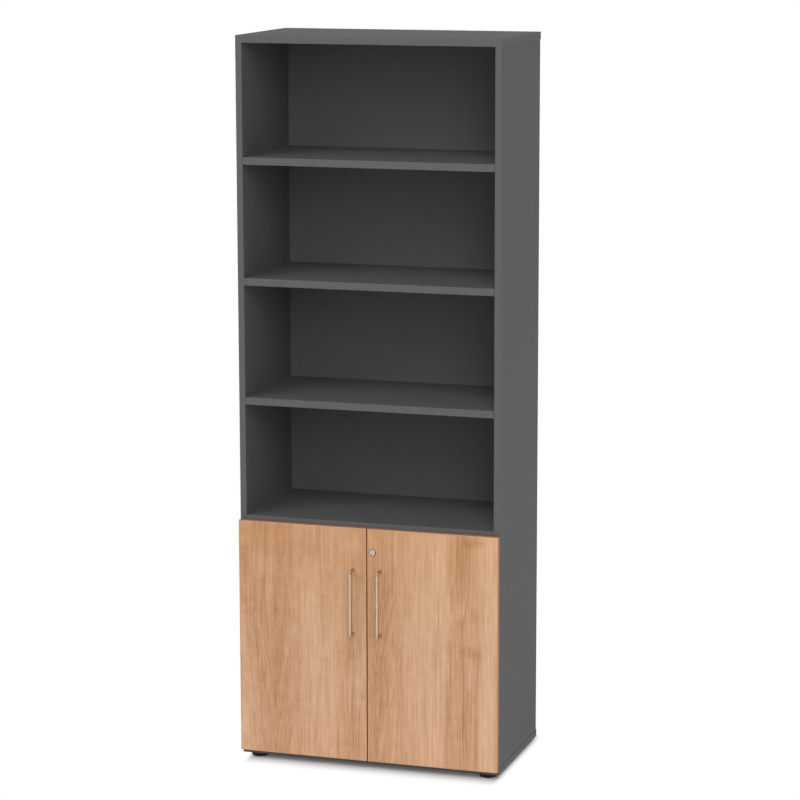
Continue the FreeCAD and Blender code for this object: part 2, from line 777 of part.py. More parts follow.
def make_bumpers():
    """Clear pads on the divider's and the bottom panel's edges, where the doors close on them."""
    pads = []
    for level in ((divider_underside + door_top) / 2, (door_bottom + bottom_top) / 2):
        face = at(-bumper_from_centre, 0, level)
        pads.append(turned([(0, 0), (bumper_radius, 0), (bumper_radius, bumper_edge),
                            (bumper_crown, door_gap), (0, door_gap)], face, V(0, -1, 0)))
    write("door_bumpers", *on_both_sides(pads))


# Feet -------------------------------------------------------------------------------------

def foot_centres():
    """Each left foot's name and its centre on the floor."""
    yield "front", at(-half_width + foot_inset_x, foot_front_inset, 0)
    yield "rear", at(-half_width + foot_inset_x, cap_depth - foot_rear_margin, 0)


def insert_bores():
    bores = [rod(insert_radius, c + V(0, 0, foot_height), c + V(0, 0, foot_height + insert_depth))
             for _, c in foot_centres()]
    return on_both_sides(bores)


def make_feet():
    """Glides with a moulded spindle, turned in threaded inserts in the bottom panel."""
    disc_top = foot_height - foot_gap
    inserts = []
    for name, centre in foot_centres():
        disc = rod(foot_radius, centre, centre + V(0, 0, disc_top))
        disc = disc.makeFillet(foot_round, [e for e in disc.Edges if e.BoundBox.ZMax < 1e-6])
        spindle = turned([(0, 0), (spindle_radius, 0), (spindle_radius, spindle_reach - spindle_chamfer),
                          (spindle_radius - spindle_chamfer, spindle_reach), (0, spindle_reach)],
                         centre + V(0, 0, disc_top), V(0, 0, 1))
        foot = joined([disc, spindle])
        write("foot_" + name + "_left", foot)
        write("foot_" + name + "_right", mirrored(foot))
        seat = centre + V(0, 0, foot_height)
        insert_end = seat + V(0, 0, insert_depth)
        thread = rod(spindle_radius + spindle_clearance, seat, insert_end)
        inserts.append(rod(insert_radius, seat, insert_end).cut(thread))
    write("foot_inserts", *on_both_sides(inserts))


os.makedirs("parts", exist_ok=True)
make_carcass()
make_shelves()
make_shelf_pins()
make_fittings()
make_doors()
make_hinges()
make_handles()
make_lock()
make_bumpers()
make_feet()
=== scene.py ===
import json
import math

import bpy
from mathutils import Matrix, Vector


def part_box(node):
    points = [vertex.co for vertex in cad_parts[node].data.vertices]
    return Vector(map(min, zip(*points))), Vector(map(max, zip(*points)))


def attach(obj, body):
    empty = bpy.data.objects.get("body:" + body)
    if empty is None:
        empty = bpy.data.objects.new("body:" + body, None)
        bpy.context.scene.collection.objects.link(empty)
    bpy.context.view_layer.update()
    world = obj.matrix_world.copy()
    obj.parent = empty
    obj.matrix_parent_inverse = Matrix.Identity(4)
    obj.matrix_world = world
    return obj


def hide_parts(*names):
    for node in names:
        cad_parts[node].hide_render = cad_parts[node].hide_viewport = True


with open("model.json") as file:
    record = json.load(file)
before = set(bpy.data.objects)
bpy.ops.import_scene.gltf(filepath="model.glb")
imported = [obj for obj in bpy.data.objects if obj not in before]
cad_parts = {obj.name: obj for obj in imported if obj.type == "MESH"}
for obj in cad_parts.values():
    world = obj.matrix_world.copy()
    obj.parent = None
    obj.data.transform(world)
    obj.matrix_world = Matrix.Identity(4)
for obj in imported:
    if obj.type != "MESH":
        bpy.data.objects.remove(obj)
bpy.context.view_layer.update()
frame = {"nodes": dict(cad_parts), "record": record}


# Shader helpers. A Wire is an output socket, and arithmetic on it adds Math nodes.

class Wire:
    def __init__(self, finish, socket):
        self.finish = finish
        self.socket = socket

    def maths(self, operation, *values):
        return self.finish.node("ShaderNodeMath", {"operation": operation}, *values)

    def __add__(self, other):
        return self.maths("ADD", self, other)

    def __radd__(self, other):
        return self.maths("ADD", other, self)

    def __sub__(self, other):
        return self.maths("SUBTRACT", self, other)

    def __rsub__(self, other):
        return self.maths("SUBTRACT", other, self)

    def __mul__(self, other):
        return self.maths("MULTIPLY", self, other)

    def __rmul__(self, other):
        return self.maths("MULTIPLY", other, self)

    def __truediv__(self, other):
        return self.maths("DIVIDE", self, other)

    def __rtruediv__(self, other):
        return self.maths("DIVIDE", other, self)

    def __pow__(self, other):
        return self.maths("POWER", self, other)

    def __abs__(self):
        return self.maths("ABSOLUTE", self)


class Finish:
    def __init__(self, owner, outputKind="ShaderNodeOutputMaterial"):
        owner.use_nodes = True
        self.owner = owner
        self.tree = owner.node_tree
        self.tree.nodes.clear()
        self.output = self.tree.nodes.new(outputKind)

    def node(self, kind, settings, *values, out=0, **named):
        made = self.tree.nodes.new(kind)
        for key, value in settings.items():
            if key == "stops":
                self.setStops(made.color_ramp.elements, value)
            else:
                setattr(made, key, value)
        for place, value in enumerate(values):
            self.feed(made.inputs[place], value)
        for name, value in named.items():
            self.feed(self.inputNamed(made, name), value)
        return Wire(self, made.outputs[out])

    def setStops(self, elements, stops):
        for element, (position, colour) in zip(elements, stops):
            element.position = position
            element.color = (*colour, 1.0)

    def inputNamed(self, made, name):
        wanted = name.replace("_", " ").lower()
        for socket in made.inputs:
            if socket.enabled and socket.name.lower() == wanted:
                return socket
        raise KeyError(f"{made.bl_idname} has no input {name}")

    def feed(self, socket, value):
        if isinstance(value, Wire):
            self.tree.links.new(value.socket, socket)
        elif socket.type == "RGBA":
            socket.default_value = (*value, 1.0)
        else:
            socket.default_value = value

    def place(self):
        return self.node("ShaderNodeTexCoord", {}, out="Object")

    def parts(self, vector):
        split = self.node("ShaderNodeSeparateXYZ", {}, vector)
        return [Wire(self, output) for output in split.socket.node.outputs]

    def joined(self, x, y, z):
        return self.node("ShaderNodeCombineXYZ", {}, x, y, z)

    def stretched(self, vector, scale):
        return self.node("ShaderNodeMapping", {}, vector, Scale=scale)

    def noise(self, vector, scale=1.0, detail=2.0, roughness=0.5):
        return self.node("ShaderNodeTexNoise", {}, Vector=vector, Scale=scale, Detail=detail,
                         Roughness=roughness)

    def between(self, value, low, high, newLow=0.0, newHigh=1.0):
        return self.node("ShaderNodeMapRange", {"interpolation_type": "SMOOTHSTEP"},
                         value, low, high, newLow, newHigh)

    def around(self, base, noise, reach):    # the base value, varied by a noise
        return base + (noise - 0.5) * reach

    def hump(self, value, centre, width):    # 1 at the centre, falling off over the width
        away = (value - centre) / width
        return 1.0 / (1.0 + away * away * away * away)

    def blend(self, factor, first, second, kind="MIX", clamped=True):
        settings = {"data_type": "RGBA", "blend_type": kind, "clamp_factor": clamped}
        return self.node("ShaderNodeMix", settings, out=2, Factor=factor, A=first, B=second)

    def ramp(self, value, first, second, start=0.3, stop=0.7):
        stops = ((start, first), (stop, second))
        return self.node("ShaderNodeValToRGB", {"stops": stops}, value)

    def bump(self, height, strength, distance):
        return self.node("ShaderNodeBump", {}, Strength=strength, Distance=distance, Height=height)

    def show(self, shader):
        self.feed(self.output.inputs["Surface"], shader)
        return self.owner

    def surface(self, **sockets):
        return self.show(self.node("ShaderNodeBsdfPrincipled", {}, **sockets))


def newFinish(name):
    return Finish(bpy.data.materials.new(name))


def scaled(colour, factor, lift=0.0):
    return tuple(part * factor + lift for part in colour)


# Melamine board and its edging. A seam is the height of a joint, and the edging just below it is
# darkened there as painted shade.

boardLook = {"colour": (0.118, 0.118, 0.118), "mottle": 0.05, "mottleSize": 38.0,
             "mottleShare": 0.6, "grainShare": 0.4, "grainSize": 1100.0, "grainDepth": 0.00005,
             "roughness": 0.66, "gloss": 0.07}
edgingLook = {"colour": (0.122, 0.122, 0.122), "mottle": 0.04, "mottleSize": (140.0,) * 3,
              "grainSize": 1500.0, "grainDepth": 0.00003, "roughness": 0.64, "gloss": 0.07,
              "seamReach": 0.003, "paintedSeamShade": 0.32}


def boardFinish():
    look, base = boardLook, boardLook["colour"]
    finish = newFinish("boardMelamine")
    spot = finish.place()
    mottle = finish.noise(spot, scale=look["mottleSize"], detail=4.0, roughness=0.6)
    pebble = finish.noise(spot, scale=look["grainSize"], detail=3.0, roughness=0.65)
    colour = finish.ramp(mottle * look["mottleShare"] + pebble * look["grainShare"],
                         scaled(base, 1.0 - look["mottle"]), scaled(base, 1.0 + look["mottle"]))
    return finish.surface(
        Base_Color=colour, Roughness=finish.around(look["roughness"], pebble, reach=0.22),
        Specular_IOR_Level=look["gloss"],
        Normal=finish.bump(pebble, strength=0.35, distance=look["grainDepth"]))


def edgingFinish(name, seam=None):
    look, base = edgingLook, edgingLook["colour"]
    finish = newFinish(name)
    spot = finish.place()
    mottle = finish.noise(finish.stretched(spot, look["mottleSize"]), detail=3.0)
    fine = finish.noise(spot, scale=look["grainSize"], detail=2.0)
    colour = finish.ramp(mottle, scaled(base, 1.0 - look["mottle"]),
                         scaled(base, 1.0 + look["mottle"]))
    # painted shade: the edging darkens in a thin band just below the seam
    if seam:
        z = finish.parts(spot)[2]
        seamShadeMask = finish.between(z, seam - look["seamReach"], seam - look["seamReach"] / 2)
        colour = finish.blend(seamShadeMask, colour, scaled(base, look["paintedSeamShade"]))
    return finish.surface(
        Base_Color=colour, Roughness=finish.around(look["roughness"], fine, reach=0.16),
        Specular_IOR_Level=look["gloss"],
        Normal=finish.bump(fine, strength=0.2, distance=look["grainDepth"]))


# Walnut decor. Tone 0 is a dark streak and 1 a pale one. Lengths are metres, x across and z up
# the front. vee: a heart figure with its points down; bands: broad upright stripes as centre,
# width and tone; strands: single dark lines through (x, z) points; clouds: soft patches as
# x, z, width, height and tone; topTint: colour factor at the top of the door

woodColours = {"dark": (0.552, 0.300, 0.160), "light": (0.700, 0.427, 0.264), "level": 0.62,
               "roughness": 0.42, "fineRoughness": 0.25, "poreRoughness": 0.12, "gloss": 0.36,
               "tintRange": (0.30, 0.73)}
fibres = {
    "broad": {"across": 26.0, "along": 0.8, "detail": 1.0, "tone": 1.05},
    "streak": {"across": 95.0, "along": 1.4, "detail": 3.6, "tone": 1.05},
    "fine": {"across": 260.0, "along": 7.0, "detail": 2.0, "tone": 2.45},
    "vein": {"across": 42.0, "along": 0.9, "detail": 1.5, "tone": 0.66, "width": 0.027},
    "veinPatch": {"across": 17.0, "along": 1.7, "detail": 1.0, "range": (-0.12, 0.16)},
}
wander = {"across": 5.0, "along": 2.2, "detail": 1.5, "shift": 0.004, "climb": 0.02}
haze = {"across": 30.0, "along": 21.0, "detail": 4.5, "roughness": 0.68, "tone": 1.15}
ripple = {"across": 30.0, "along": 50.0, "detail": 2.5, "roughness": 0.6, "tone": 0.32,
          "seed": 9.0}
heart = {"point": 0.000012, "bend": 0.3, "steepness": 1.89, "rise": 0.063, "across": 9.0,
         "along": 24.0, "detail": 2.0, "roughness": 0.6, "seed": 5.0, "tipHeight": 0.008,
         "tipWidth": 0.030, "tipTone": 0.30, "veinShare": 0.8}
strandLook = {"tone": 1.35, "fade": 0.05}
cloudLook = {"tone": 1.35, "softness": 1.6}
poreLook = {"across": 1400.0, "along": 46.0, "detail": 1.5, "range": (0.60, 0.74), "tone": 0.16,
            "depth": 0.8}
doorGrain = {
    "left": {
        "seed": 3.0, "mottle": 1.28, "topTint": (0.925, 0.865, 0.755),
        "vee": {"centre": -0.288, "reach": 0.062, "fade": (0.38, 0.56),
                "tips": [0.040, 0.185, 0.275]},
        "bands": [(-0.290, 0.045, -0.40), (-0.040, 0.024, -0.50), (-0.350, 0.034, -0.15),
                  (-0.120, 0.080, 0.14)],
        "strands": [
            {"line": [(-0.295, 0.60), (-0.290, 0.53), (-0.284, 0.42)],
             "width": 0.0024, "tone": -0.30},
            {"line": [(-0.054, 0.40), (-0.061, 0.28)],
             "width": 0.0036, "tone": -0.35},
            {"line": [(-0.036, 0.30), (-0.049, 0.17), (-0.062, 0.06)],
             "width": 0.0020, "tone": -0.32},
            {"line": [(-0.014, 0.26), (-0.027, 0.12), (-0.031, 0.02)],
             "width": 0.0017, "tone": -0.36},
            {"line": [(-0.355, 0.46), (-0.344, 0.30), (-0.330, 0.10)],
             "width": 0.0018, "tone": -0.30},
            {"line": [(-0.366, 0.34), (-0.356, 0.16), (-0.350, 0.03)],
             "width": 0.0016, "tone": -0.26},
        ],
        "clouds": [(-0.325, 0.600, 0.022, 0.030, 0.50), (-0.312, 0.525, 0.015, 0.026, 0.32),
                   (-0.385, 0.600, 0.020, 0.036, -0.30), (-0.370, 0.492, 0.025, 0.013, -0.28),
                   (-0.352, 0.462, 0.004, 0.006, -0.55), (-0.035, 0.670, 0.030, 0.045, 0.30),
                   (-0.195, 0.590, 0.025, 0.018, 0.20), (-0.025, 0.270, 0.014, 0.015, 0.35),
                   (-0.028, 0.210, 0.014, 0.012, 0.30), (-0.365, 0.130, 0.055, 0.130, 0.28)],
    },
    "right": {
        "seed": 11.0, "mottle": 1.04, "topTint": (0.985, 0.965, 0.880),
        "vee": {"centre": 0.031, "reach": 0.058, "fade": (0.50, 0.70),
                "tips": [0.090, 0.250, 0.455]},
        "bands": [(0.033, 0.034, -0.58), (0.080, 0.022, -0.15), (0.222, 0.034, 0.22),
                  (0.292, 0.038, -0.32), (0.368, 0.022, 0.32)],
        "strands": [
            {"line": [(0.315, 0.73), (0.311, 0.58), (0.291, 0.43), (0.297, 0.28), (0.297, 0.03)],
             "width": 0.0015, "tone": -0.62},
            {"line": [(0.328, 0.71), (0.322, 0.50), (0.309, 0.30), (0.312, 0.05)],
             "width": 0.0022, "tone": -0.20},
            {"line": [(0.268, 0.65), (0.272, 0.60), (0.262, 0.56), (0.260, 0.48)],
             "width": 0.0030, "tone": -0.42},
            {"line": [(0.283, 0.44), (0.276, 0.26), (0.279, 0.04)],
             "width": 0.0020, "tone": -0.24},
            {"line": [(0.064, 0.40), (0.043, 0.24), (0.035, 0.10)],
             "width": 0.0017, "tone": -0.36},
            {"line": [(0.106, 0.26), (0.094, 0.13), (0.088, 0.02)],
             "width": 0.0016, "tone": -0.28},
            {"line": [(0.309, 0.30), (0.308, 0.14), (0.307, 0.03)],
             "width": 0.0012, "tone": -0.22},
            {"line": [(0.322, 0.26), (0.319, 0.12), (0.318, 0.03)],
             "width": 0.0012, "tone": -0.20},
            {"line": [(0.334, 0.22), (0.331, 0.12), (0.330, 0.03)],
             "width": 0.0012, "tone": -0.18},
        ],
        "clouds": [(0.335, 0.708, 0.035, 0.013, -0.42), (0.322, 0.485, 0.022, 0.022, -0.36),
                   (0.322, 0.380, 0.030, 0.014, -0.45), (0.290, 0.495, 0.014, 0.020, 0.36),
                   (0.370, 0.700, 0.012, 0.020, 0.35), (0.200, 0.090, 0.040, 0.060, 0.24),
                   (0.018, 0.705, 0.014, 0.022, 0.25), (0.045, 0.140, 0.050, 0.120, 0.22),
                   (0.350, 0.220, 0.050, 0.180, 0.16)],
    },
}


def lineAcross(finish, z, line):    # x of a line through (x, z) points, at each height
    reach = line[0][0]
    for (fromX, fromZ), (toX, toZ) in zip(line, line[1:]):
        reach = finish.between(z, toZ, fromZ, toX - fromX, 0.0) + reach
    return reach


def vein(value):    # a thin dark line wherever the noise passes zero
    away = value / fibres["vein"]["width"]
    return fibres["vein"]["tone"] / (1.0 + away * away)


def heartFigure(finish, figure, vee, seed, across, z):
    off = across - vee["centre"]
    # equal values of level run down both arms of the heart figure and meet at its point
    level = z - (off * off + heart["point"]) ** heart["bend"] * heart["steepness"] + heart["rise"]
    spot = finish.joined(level * heart["along"], seed + heart["seed"], off * heart["across"])
    rings = finish.noise(spot, detail=heart["detail"], roughness=heart["roughness"]) - 0.5
    thin = vein(rings)
    core = finish.hump(off, 0.0, heart["tipWidth"]) * heart["tipTone"]
    for tip in vee["tips"]:
        rings = rings - finish.hump(level, tip, heart["tipHeight"]) * core
    inside = finish.hump(off, 0.0, vee["reach"]) * (1.0 - finish.between(z, *vee["fade"]))
    return figure + (rings * fibres["streak"]["tone"] - thin * heart["veinShare"] - figure) * inside


def veneerFinish(side):
    grain = doorGrain[side]
    seed = grain["seed"]
    finish = newFinish("walnut_" + side)
    x, _, z = finish.parts(finish.place())
    # the fibres wander slowly along the height
    drift = finish.noise(finish.joined(x * wander["across"] + seed, 0.0, z * wander["along"]),
                         detail=wander["detail"]) * 2.0 - 1.0
    across = x + drift * wander["shift"]

    def fibreNoise(layer):
        spot = finish.joined(across * layer["across"], seed, z * layer["along"])
        return finish.noise(spot, detail=layer["detail"], roughness=0.62) - 0.5

    def mottleNoise(layer, spot):
        noise = finish.noise(spot, detail=layer["detail"], roughness=layer["roughness"])
        return (noise - 0.5) * layer["tone"]

    figure = fibreNoise(fibres["streak"]) * fibres["streak"]["tone"]
    patchy = finish.between(fibreNoise(fibres["veinPatch"]), *fibres["veinPatch"]["range"])
    figure = figure - vein(fibreNoise(fibres["vein"])) * patchy
    figure = heartFigure(finish, figure, grain["vee"], seed, across, z)

    fine = fibreNoise(fibres["fine"])
    tone = fibreNoise(fibres["broad"]) * fibres["broad"]["tone"] + figure
    tone = tone + fine * fibres["fine"]["tone"]
    hazeSpot = finish.joined(x * haze["across"] + seed, 0.0, z * haze["along"])
    rippleSpot = finish.joined(x * ripple["across"], seed + ripple["seed"], z * ripple["along"])
    mottle = mottleNoise(haze, hazeSpot) + mottleNoise(ripple, rippleSpot)
    tone = tone + mottle * grain["mottle"] + woodColours["level"]
    for centre, width, strength in grain["bands"]:
        tone = tone + strength * finish.hump(across, centre, width)
    for strand in grain["strands"]:
        line = lineAcross(finish, z, strand["line"])
        top, bottom = strand["line"][0][1], strand["line"][-1][1]
        along = (finish.between(z, top, top - strandLook["fade"])
                 * finish.between(z, bottom, bottom + strandLook["fade"]))
        strength = strand["tone"] * strandLook["tone"]
        tone = tone + strength * along * finish.hump(across, line, strand["width"])
    for centreX, centreZ, wide, tall, strength in grain["clouds"]:
        reachX = (across - centreX) / wide
        reachZ = (z + drift * wander["climb"] - centreZ) / tall
        away = (reachX * reachX + reachZ * reachZ) ** cloudLook["softness"]
        tone = tone + strength * cloudLook["tone"] / (1.0 + away)

    poreSpot = finish.joined(across * poreLook["across"], seed, z * poreLook["along"])
    pore = finish.between(finish.noise(poreSpot, detail=poreLook["detail"]), *poreLook["range"])
    colour = finish.blend(tone - pore * poreLook["tone"], woodColours["dark"],
                          woodColours["light"], clamped=False)
    tinted = finish.blend(1.0, colour, grain["topTint"], "MULTIPLY")
    colour = finish.blend(finish.between(z, *woodColours["tintRange"]), colour, tinted)
    rough = (woodColours["roughness"] + fine * woodColours["fineRoughness"]
             + pore * woodColours["poreRoughness"])
    return finish.surface(
        Base_Color=colour, Roughness=rough, Specular_IOR_Level=woodColours["gloss"],
        Normal=finish.bump(fine - pore * poreLook["depth"], strength=0.25, distance=0.00006))


# The front of a door's edging is sanded flush and takes the decor's colour

stripLook = {"face": (0.600, 0.352, 0.208), "sides": ((0.400, 0.170, 0.085), (0.490, 0.225, 0.115)),
             "faceDepth": (0.0002, 0.0007), "grain": (160.0, 160.0, 3.0), "roughness": 0.50,
             "gloss": 0.10}


def stripFinish():
    finish = newFinish("walnutEdging")
    spot = finish.place()
    y = finish.parts(spot)[1]
    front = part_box("door_left")[0][1]
    grain = finish.noise(finish.stretched(spot, stripLook["grain"]), detail=3.0)
    behind = finish.between(y, *(front + depth for depth in stripLook["faceDepth"]))
    colour = finish.blend(behind, stripLook["face"], finish.ramp(grain, *stripLook["sides"]))
    return finish.surface(
        Base_Color=colour, Roughness=finish.around(stripLook["roughness"], grain, reach=0.12),
        Specular_IOR_Level=stripLook["gloss"],
        Normal=finish.bump(grain, strength=0.2, distance=0.00004))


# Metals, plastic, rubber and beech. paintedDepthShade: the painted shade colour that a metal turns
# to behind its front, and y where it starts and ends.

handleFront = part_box("handle_bar_left")[0][1]
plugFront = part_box("lock_plug")[0][1]
metals = {
    # the bar's warm colour is partly the real metal and partly painted reflection of the walnut;
    # its sides and back darken to painted shade and dark reflection
    "handle_metal": {"name": "satinNickel", "colour": (0.655, 0.490, 0.360), "roughness": 0.25,
                     "brushing": (900.0, 900.0, 60.0),
                     "paintedDepthShade": ((0.10, 0.065, 0.045), handleFront + 0.0006, handleFront + 0.0040)},
    # the posts are a darker brown copy of the bar's metal as painted shade and wood reflection,
    # darkest at their front caps
    "handle_posts": {"name": "shadedNickel", "colour": (0.48, 0.345, 0.25), "roughness": 0.24,
                     "brushing": (300.0, 900.0, 300.0),
                     "paintedDepthShade": ((0.52, 0.40, 0.31), handleFront + 0.004, handleFront + 0.020)},
    # painted shade: black inside the keyway behind the plug's front
    "lock_chrome": {"name": "polishedChrome", "colour": (0.68, 0.67, 0.67), "roughness": 0.10,
                    "brushing": (500.0, 500.0, 500.0), "swirl": 0.03,
                    "paintedDepthShade": ((0.02, 0.02, 0.02), plugFront + 0.0002, plugFront + 0.0008)},
    # the ring is chrome darkened as painted dark reflection, with painted shade in the bore around
    # the plug
    "lock_ring": {"name": "shadedChromeRing", "colour": (0.42, 0.40, 0.385), "roughness": 0.10,
                  "brushing": (500.0, 500.0, 500.0), "swirl": 0.03,
                  "paintedDepthShade": ((0.04, 0.03, 0.025), plugFront - 0.0005, plugFront + 0.0004)},
    "hinge_steel": {"name": "nickelPlate", "colour": (0.42, 0.41, 0.395), "roughness": 0.28,
                    "brushing": (300.0, 300.0, 900.0), "swirl": 0.08},
    "fastener_steel": {"name": "zincPlate", "colour": (0.46, 0.47, 0.48), "roughness": 0.38,
                       "brushing": (700.0, 700.0, 700.0), "swirl": 0.12},
}
plastics = {
    "foot_plastic": {"name": "footPlastic", "colour": (0.009, 0.009, 0.010), "roughness": 0.48,
                     "grainSize": 900.0, "gloss": 0.16},
    "bumper_rubber": {"name": "bumperSilicone", "colour": (0.42, 0.42, 0.41), "roughness": 0.35,
                      "grainSize": 700.0, "gloss": 0.5},
}
metalWear = {"cloudSize": 60.0, "brushShare": 0.7, "cloudShare": 0.3, "darker": 0.90,
             "lighter": 1.06, "roughnessReach": 0.7}
plasticWear = {"scuffSize": 90.0, "lighter": 1.35, "lift": 0.002, "start": 0.35, "stop": 0.75}
beechLook = {"colours": ((0.46, 0.30, 0.17), (0.60, 0.42, 0.26)), "grain": (60.0, 500.0, 500.0)}


def metalFinish(name, colour, roughness, brushing, swirl=0.0, paintedDepthShade=None):
    finish = newFinish(name)
    spot = finish.place()
    lines = finish.noise(finish.stretched(spot, brushing), detail=3.0, roughness=0.6)
    cloud = finish.noise(spot, scale=metalWear["cloudSize"], detail=3.0)
    shade = finish.ramp(lines * metalWear["brushShare"] + cloud * metalWear["cloudShare"],
                        scaled(colour, metalWear["darker"]), scaled(colour, metalWear["lighter"]))
    # painted shade: the colour turns to a painted tone with depth behind the front
    if paintedDepthShade:
        paintedShadeColour, start, stop = paintedDepthShade
        y = finish.parts(spot)[1]
        shade = finish.blend(finish.between(y, start, stop), shade, paintedShadeColour)
    rough = finish.around(roughness, lines, reach=roughness * metalWear["roughnessReach"])
    return finish.surface(Base_Color=shade, Metallic=1.0,
                          Roughness=rough + (cloud - 0.5) * swirl,
                          Normal=finish.bump(lines, strength=0.15, distance=0.00002))


def plasticFinish(name, colour, roughness, grainSize, gloss):
    finish = newFinish(name)
    spot = finish.place()
    grain = finish.noise(spot, scale=grainSize, detail=3.0)
    scuff = finish.noise(spot, scale=plasticWear["scuffSize"], detail=4.0)
    worn = scaled(colour, plasticWear["lighter"], plasticWear["lift"])
    shade = finish.ramp(scuff, colour, worn, plasticWear["start"], plasticWear["stop"])
    return finish.surface(Base_Color=shade, Roughness=finish.around(roughness, grain, reach=0.2),
                          Specular_IOR_Level=gloss,
                          Normal=finish.bump(grain, strength=0.3, distance=0.00006))


def beechFinish():
    finish = newFinish("beech")
    flecks = finish.noise(finish.stretched(finish.place(), beechLook["grain"]), detail=3.0)
    return finish.surface(Base_Color=finish.ramp(flecks, *beechLook["colours"]),
                          Roughness=finish.around(0.6, flecks, reach=0.2),
                          Normal=finish.bump(flecks, strength=0.3, distance=0.00008))


finishes = {
    "carcass_board": boardFinish(),
    "carcass_edging": edgingFinish("boardEdging"),
    "bottom_edging": edgingFinish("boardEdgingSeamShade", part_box("bottom_edging")[1][2]),
    "door_edging": stripFinish(),
    "dowel_beech": beechFinish(),
    **{slot: metalFinish(**look) for slot, look in metals.items()},
    **{slot: plasticFinish(**look) for slot, look in plastics.items()},
}
veneers = {side: veneerFinish(side) for side in doorGrain}
slots = {row["node"]: row["material_slot"] for row in frame["record"]["subparts"]}


def finishFor(node):
    if slots[node] == "door_veneer":
        return veneers["left" if node.endswith("left") else "right"]
    if node.startswith("handle_posts"):
        return finishes["handle_posts"]
    if node == "bottom_edging":
        return finishes[node]
    return finishes[slots[node]]


def dress(piece, material):
    piece.data.materials.clear()
    piece.data.materials.append(material)


for node, piece in frame["nodes"].items():
    dress(piece, finishFor(node))
print("finishes set on", len(slots), "nodes")


# Turned pieces: a disc is extruded ring by ring along its axis. Rings are radius and distance.

turning = {"sides": 56, "weld": 0.000002, "smoothAngle": math.radians(35.0)}
forward = Vector((0.0, -1.0, 0.0))
backward = Vector((0.0, 1.0, 0.0))
upward = Vector((0.0, 0.0, 1.0))


def selectOnly(piece):
    bpy.ops.object.select_all(action="DESELECT")
    piece.select_set(True)
    bpy.context.view_layer.objects.active = piece


def joinPieces(first, second):
    selectOnly(first)
    second.select_set(True)
    bpy.ops.object.join()


def turnedPiece(name, centre, along, rings):    # leaves the piece in edit mode
    radius, start = rings[0]
    bpy.ops.object.select_all(action="DESELECT")
    bpy.ops.mesh.primitive_circle_add(vertices=turning["sides"], radius=radius, fill_type="NGON",
                                      location=centre + along * start,
                                      rotation=along.to_track_quat("Z", "Y").to_euler())
    piece = bpy.context.active_object
    piece.name = name
    bpy.ops.object.transform_apply(location=True, rotation=True, scale=True)
    bpy.ops.object.mode_set(mode="EDIT")
    bpy.ops.mesh.select_all(action="SELECT")
    for (lastRadius, lastPlace), (newRadius, newPlace) in zip(rings, rings[1:]):
        step = along * (newPlace - lastPlace)
        bpy.ops.mesh.extrude_region_move(TRANSFORM_OT_translate={"value": step})
        if newRadius != lastRadius:
            bpy.ops.transform.resize(value=(newRadius / lastRadius,) * 3,
                                     center_override=centre + along * newPlace)
    return piece


def finishShape(piece):
    bpy.ops.object.mode_set(mode="OBJECT")
    selectOnly(piece)
    bpy.ops.object.mode_set(mode="EDIT")
    bpy.ops.mesh.select_all(action="SELECT")
    bpy.ops.mesh.remove_doubles(threshold=turning["weld"])
    bpy.ops.mesh.normals_make_consistent(inside=False)
    bpy.ops.object.mode_set(mode="OBJECT")
    bpy.ops.object.shade_smooth_by_angle(angle=turning["smoothAngle"])


def turnedEnd(name, centre, along, rings):
    piece = turnedPiece(name, centre, along, rings)
    finishShape(piece)
    return piece


def roundOver(radius, place, size, steps):    # rings that turn an edge from side to end face
    rings = []
    for step in range(steps + 1):
        angle = math.pi / 2 * step / steps
        inward = size * (1.0 - math.cos(angle))
        short = size * (1.0 - math.sin(angle))
        rings.append((radius - inward, place - short))
    return rings


def spread(low, high):    # middle and half width
    return (low + high) / 2, (high - low) / 2


handle = {"footBreak": 0.0004, "postRound": 0.0015, "roundSteps": 5, "postCrown": 0.0003,
          "crownShare": 0.35, "neck": 0.003, "neckLength": 0.0012, "socket": 0.001,
          "barBreak": 0.0005}


def makePosts(side):
    low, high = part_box("handle_posts_" + side)
    x, radius = spread(low[0], high[0])
    reach = high[1] - low[1]
    rings = [(radius - handle["footBreak"], 0.0), (radius, handle["footBreak"])]
    rings += roundOver(radius, reach - handle["postCrown"], handle["postRound"],
                       handle["roundSteps"])
    rings += [(radius * handle["crownShare"], reach)]
    levels = {"lower": low[2] + radius, "upper": high[2] - radius}
    posts = [turnedEnd(f"handlePost_{side}_{name}", Vector((x, high[1], z)), forward, rings)
             for name, z in levels.items()]
    for post in posts:
        dress(post, finishes["handle_posts"])
    joinPieces(*posts)
    posts[0].name = "handlePosts_" + side
    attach(posts[0], side + "_door")
    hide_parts("handle_posts_" + side)


def makeBar(side):
    low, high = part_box("handle_bar_" + side)
    x, radius = spread(low[0], high[0])
    y = spread(low[1], high[1])[0]
    length, neck, edge = high[2] - low[2], handle["neck"], handle["barBreak"]
    bare = handle["socket"] + handle["neckLength"]
    rings = [(neck, 0.0), (neck, bare), (radius - edge, bare), (radius, bare + edge)]
    rings += [(ringRadius, length - place) for ringRadius, place in reversed(rings)]
    bar = turnedEnd("handleBar_" + side, Vector((x, y, low[2])), upward, rings)
    dress(bar, finishes["handle_metal"])
    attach(bar, side + "_door")
    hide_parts("handle_bar_" + side)


for side in ("left", "right"):
    makePosts(side)
    makeBar(side)
print("handles modelled")

lock = {"headRadius": 0.010, "headHeight": 0.0035, "headBreak": 0.0003, "rim": 0.0026,
        "rimSteps": 8, "bore": 0.00612, "boreEdge": 0.0005, "boreFloor": 0.0004,
        "bodyRadius": 0.008, "halfFlat": 0.007, "bodyEdge": 0.0005}


